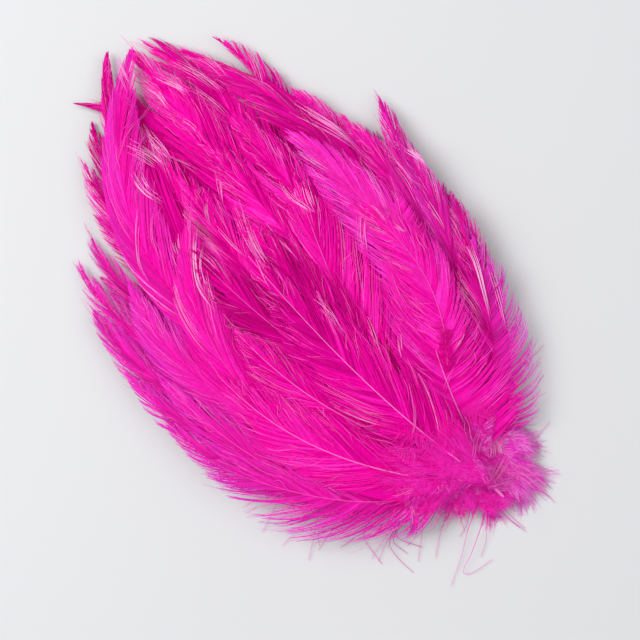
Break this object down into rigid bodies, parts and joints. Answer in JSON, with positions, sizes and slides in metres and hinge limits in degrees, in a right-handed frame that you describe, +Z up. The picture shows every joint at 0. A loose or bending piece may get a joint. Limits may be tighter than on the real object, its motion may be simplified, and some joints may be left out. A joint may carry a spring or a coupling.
{
  "type": "hackle feather pad",
  "caption": "Oval pad of overlapping dyed cockerel hackle feathers on a felt teardrop, downy at the quill end, for sewing or gluing flat onto a hat, headband or costume.",
  "frame": {"origin": "middle of the pad, on the plane of the felt backing's flat underside", "axes": "+Z up out of the felt through the feathers, +Y from the quill end towards the feather tips, +X across the pad"},
  "size_m": [0.1063, 0.1749, 0.016],
  "materials": {
    "dyed_hackle": "satin dyed feather vane, hot pink with pale glossy barbs",
    "dyed_down": "matt fluffy down, pink with a purple tint",
    "felt": "matt dyed felt"
  },
  "bodies": {
    "root": {"felt_backing": "felt", "under_01": "dyed_hackle", "under_02": "dyed_hackle", "under_03": "dyed_hackle", "under_04": "dyed_hackle", "under_05": "dyed_hackle", "under_06": "dyed_hackle", "under_07": "dyed_hackle", "under_08": "dyed_hackle", "under_09": "dyed_hackle", "under_10": "dyed_hackle", "under_11": "dyed_hackle", "crown_left_spike": "dyed_hackle", "crown_right": "dyed_hackle", "crown_inner_left": "dyed_hackle", "crown_outer_left": "dyed_hackle", "crown_left_middle": "dyed_hackle", "crown_curl": "dyed_hackle", "crown_middle": "dyed_hackle", "shoulder_left_back": "dyed_hackle", "shoulder_left_middle": "dyed_hackle", "shoulder_left_front": "dyed_hackle", "shoulder_right_back": "dyed_hackle", "shoulder_right_edge": "dyed_hackle", "shoulder_right_tip": "dyed_hackle", "sweep_right": "dyed_hackle", "sweep_left_inner": "dyed_hackle", "sweep_left_outer": "dyed_hackle", "middle_high": "dyed_hackle", "middle_left_high": "dyed_hackle", "middle_right_high": "dyed_hackle", "flank_left_tip": "dyed_hackle", "flank_right_back": "dyed_hackle", "flank_left_low": "dyed_hackle", "flank_right_low": "dyed_hackle", "inner_left_back": "dyed_hackle", "inner_right_front": "dyed_hackle", "satin_left": "dyed_hackle", "inner_middle": "dyed_hackle", "inner_right_long": "dyed_hackle", "inner_centre": "dyed_hackle", "edge_left_upper": "dyed_hackle", "edge_left_lower": "dyed_hackle", "edge_right": "dyed_hackle", "front_right": "dyed_hackle", "front_left_inner": "dyed_hackle", "front_left": "dyed_hackle", "front_middle": "dyed_hackle", "front_short": "dyed_hackle", "down_back_right": "dyed_down", "down_back": "dyed_down", "down_right": "dyed_down", "down_back_left": "dyed_down", "down_left": "dyed_down"}
  },
  "joints": []
}
